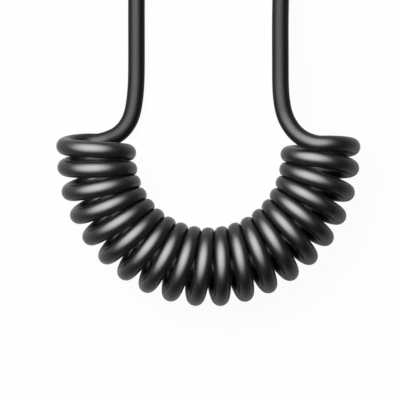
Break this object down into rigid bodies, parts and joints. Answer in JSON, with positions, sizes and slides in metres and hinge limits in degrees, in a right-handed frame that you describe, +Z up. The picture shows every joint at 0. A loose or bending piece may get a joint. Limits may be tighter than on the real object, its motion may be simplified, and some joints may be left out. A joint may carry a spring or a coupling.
{
  "type": "coiled usb charging cable",
  "caption": "Black coiled charging cable bent to a U as it lies on a table, its straight ends running to a USB-A plug and a USB-C plug, both with slotted strain reliefs.",
  "frame": {"origin": "on the table, at the middle of the rectangle that the two plugs cover", "axes": "+Z up from the table, +Y the way both plugs point, +X towards the USB-C plug; the coil lies towards -Y"},
  "size_m": [0.076, 0.181, 0.02],
  "materials": {
    "cord_jacket": "satin",
    "moulded_grip": "fine matt moulding",
    "plated_shell": "bright nickel plating",
    "tinned_sheet": "tinned",
    "spring_bronze": "plated",
    "gold_contact": "thin gold plating",
    "white_insulator": "semi-gloss",
    "black_insulator": "semi-gloss",
    "inner_mould": "matt, milky",
    "circuit_card": "solder mask",
    "resistor": "glazed",
    "wire_black": "smooth",
    "wire_green": "smooth",
    "wire_white": "smooth",
    "wire_red": "smooth"
  },
  "bodies": {
    "root": {"usb_a_shell": "plated_shell", "usb_a_tongue": "white_insulator", "usb_a_contact_ground": "gold_contact", "usb_a_contact_data_plus": "gold_contact", "usb_a_contact_data_minus": "gold_contact", "usb_a_contact_power": "gold_contact", "usb_a_shield_can": "tinned_sheet", "usb_a_inner_mould": "inner_mould", "usb_a_wire_black": "wire_black", "usb_a_wire_green": "wire_green", "usb_a_wire_white": "wire_white", "usb_a_wire_red": "wire_red", "usb_a_overmould": "moulded_grip", "usb_c_shell": "plated_shell", "usb_c_insulator": "black_insulator", "usb_c_latch": "tinned_sheet", "usb_c_ground_spring_top": "spring_bronze", "usb_c_ground_spring_bottom": "spring_bronze", "usb_c_contact_a1": "gold_contact", "usb_c_contact_a4": "gold_contact", "usb_c_contact_a5": "gold_contact", "usb_c_contact_a6": "gold_contact", "usb_c_contact_a7": "gold_contact", "usb_c_contact_a9": "gold_contact", "usb_c_contact_a12": "gold_contact", "usb_c_contact_b1": "gold_contact", "usb_c_contact_b4": "gold_contact", "usb_c_contact_b9": "gold_contact", "usb_c_contact_b12": "gold_contact", "usb_c_paddle_card": "circuit_card", "usb_c_resistor": "resistor", "usb_c_shield_can": "tinned_sheet", "usb_c_inner_mould": "inner_mould", "usb_c_wire_black": "wire_black", "usb_c_wire_green": "wire_green", "usb_c_wire_white": "wire_white", "usb_c_wire_red": "wire_red", "usb_c_overmould": "moulded_grip", "usb_a_tail": "cord_jacket", "coil": "cord_jacket", "usb_c_tail": "cord_jacket"}
  },
  "joints": []
}
